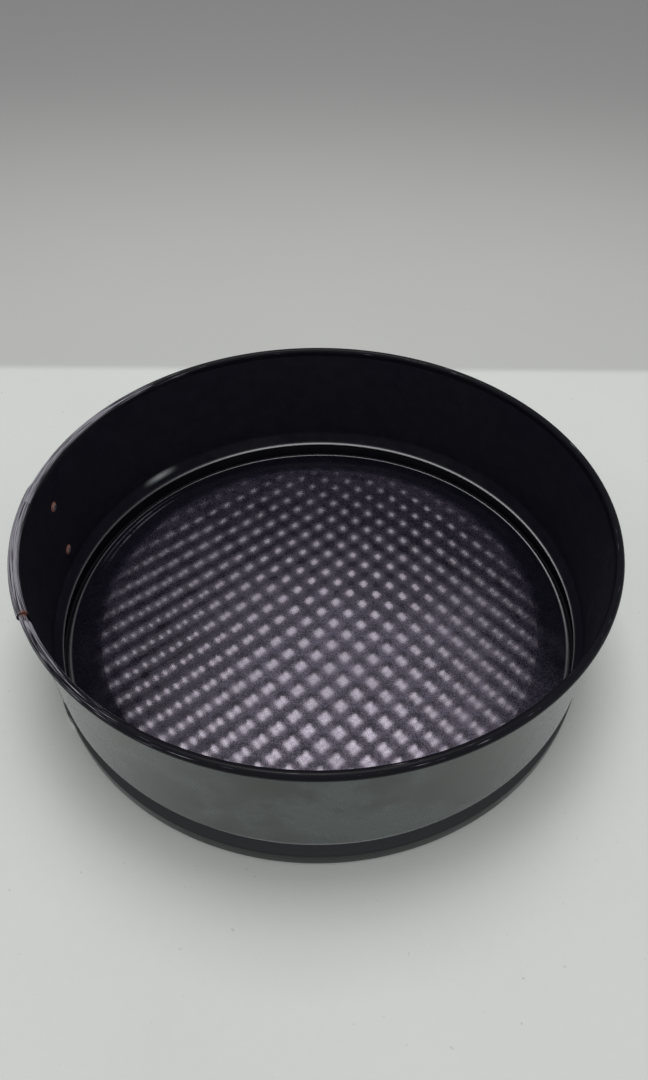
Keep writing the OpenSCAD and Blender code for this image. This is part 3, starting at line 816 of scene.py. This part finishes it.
band = made_piece("side_band_finished", *band_mesh())
share_out(band, BAND, band_part)
dress(band, "pan", "side_band")
plate = embossed(made_piece("base_plate_finished", *plate_mesh()), FLOOR[0])
share_out(plate, FLOOR, plate_part)
dress(plate, "pan", "base_plate")
for node, body in (("hinge_plate", "pan"), ("catch_plate", "pan"), ("hinge_pin", "pan"),
                   ("lever", "clasp_lever"), ("wire_loop", "clasp_loop")):
    dress(smooth_copy(node, PLATED), body, node)
for node in ("hinge_rivets", "catch_rivets"):
    dress(smooth_copy(node, RIVETS), "pan", node)


# The stage, the light and the camera, with places in metres and angles in degrees

TABLE_HALF = 4.0
TABLE_Z = -0.1 * MM
FAR_FROM, FAR_TO = 0.212, 0.222
FADE_FROM, FADE_TO = 0.2, 1.0

LAMP_Z = 1.0
ROOM_TINT = (0.98, 0.98, 1.0, 1)
ROOM_IN_FRONT, ROOM_BEHIND = 0.86, 0.36

FRAME_W, FRAME_H = 648.0, 1080.0
FOCAL_PX = 746.0
MIDDLE_PX = 350.0
SENSOR_MM = 24.0
PITCH, YAW, ROLL = 45.08, 2.16, -0.10
CAMERA_AT = (AXIS_X * MM, -0.2337, 0.2837)


def table_finish():
    material, w, shader, place = finish_of("pale_table")
    y = w.split(place)[1]
    fine = w.noise(place, 240.0, 3.0, 0.7)
    specks = w.ramp(w.noise(place, 330.0, 2.0, 0.5), 0.72, 0.78)
    tone = w.tint(w.noise(place, 6.0, 5.0), *TABLE_TOP)
    tone = w.tint(w.times(fine, 0.12), tone, TABLE_GRAIN)
    tone = w.tint(w.times(specks, 0.35), tone, TABLE_SPECKS)

    # Beyond a line behind the pan the table lies in shade
    far = w.times(w.ramp(y, FAR_FROM, FAR_TO), w.ramp(y, FADE_FROM, FADE_TO, 0.55, 1.0))
    w.feed(shader.inputs["Base Color"], w.tint(far, tone, TABLE_FAR))
    w.feed(shader.inputs["Roughness"], 0.7)
    return material


def table():
    mesh = bpy.data.meshes.new("table")
    corners = [(x * TABLE_HALF, y * TABLE_HALF, TABLE_Z)
               for x, y in ((-1, -1), (1, -1), (1, 1), (-1, 1))]
    mesh.from_pydata(corners, [], [(0, 1, 2, 3)])
    mesh.materials.append(table_finish())
    placed("table", mesh)


def soft_lamp(name, y, size, power):
    """A lamp over the table that shines straight down."""
    lamp = bpy.data.lights.new(name, "AREA")
    lamp.shape = "RECTANGLE"
    lamp.size, lamp.size_y = size
    lamp.energy = power
    placed(name, lamp).location = (0, y, LAMP_Z)


def light():
    """A pale room, brighter in front than behind, and two soft lamps."""
    world = bpy.data.worlds.new("soft_room")
    world.use_nodes = True
    w = Wiring(world.node_tree)
    back = world.node_tree.nodes["Background"]
    w.feed(back.inputs["Color"], ROOM_TINT)
    y = w.split(w.place("ShaderNodeTexCoord").outputs["Generated"])[1]
    w.feed(back.inputs["Strength"], w.ramp(y, -0.3, 0.5, ROOM_IN_FRONT, ROOM_BEHIND))
    bpy.context.scene.world = world
    soft_lamp("overhead", y=0.05, size=(0.4, 0.3), power=3.6)
    soft_lamp("window", y=0.33, size=(0.4, 0.25), power=1.8)


def turned(one, other, angle):
    """Two arrows at a right angle, the first turned towards the second."""
    cos, sin = math.cos(angle), math.sin(angle)
    return one * cos + other * sin, other * cos - one * sin


def photograph_camera():
    """The camera of the photograph, which looks down into the pan from the front."""
    pitch, yaw, roll = (math.radians(a) for a in (PITCH, YAW, ROLL))
    ahead = Vector((0, math.cos(pitch), -math.sin(pitch)))
    up = Vector((0, math.sin(pitch), math.cos(pitch)))
    ahead, right = turned(ahead, Vector((1, 0, 0)), yaw)
    right, up = turned(right, up, roll)
    lens = bpy.data.cameras.new("photograph")
    lens.sensor_fit = "VERTICAL"
    lens.sensor_height = SENSOR_MM
    lens.lens = SENSOR_MM * FOCAL_PX / FRAME_H
    lens.shift_x = (FRAME_W / 2 - MIDDLE_PX) / FRAME_H
    lens.clip_start = 0.01
    holder = placed("photograph", lens)
    facing = Matrix((right, up, -ahead)).transposed().to_4x4()
    holder.matrix_world = Matrix.Translation(CAMERA_AT) @ facing
    bpy.context.scene.camera = holder


table()
light()
photograph_camera()
bpy.context.scene.view_settings.view_transform = "Standard"

bpy.context.view_layer.update()
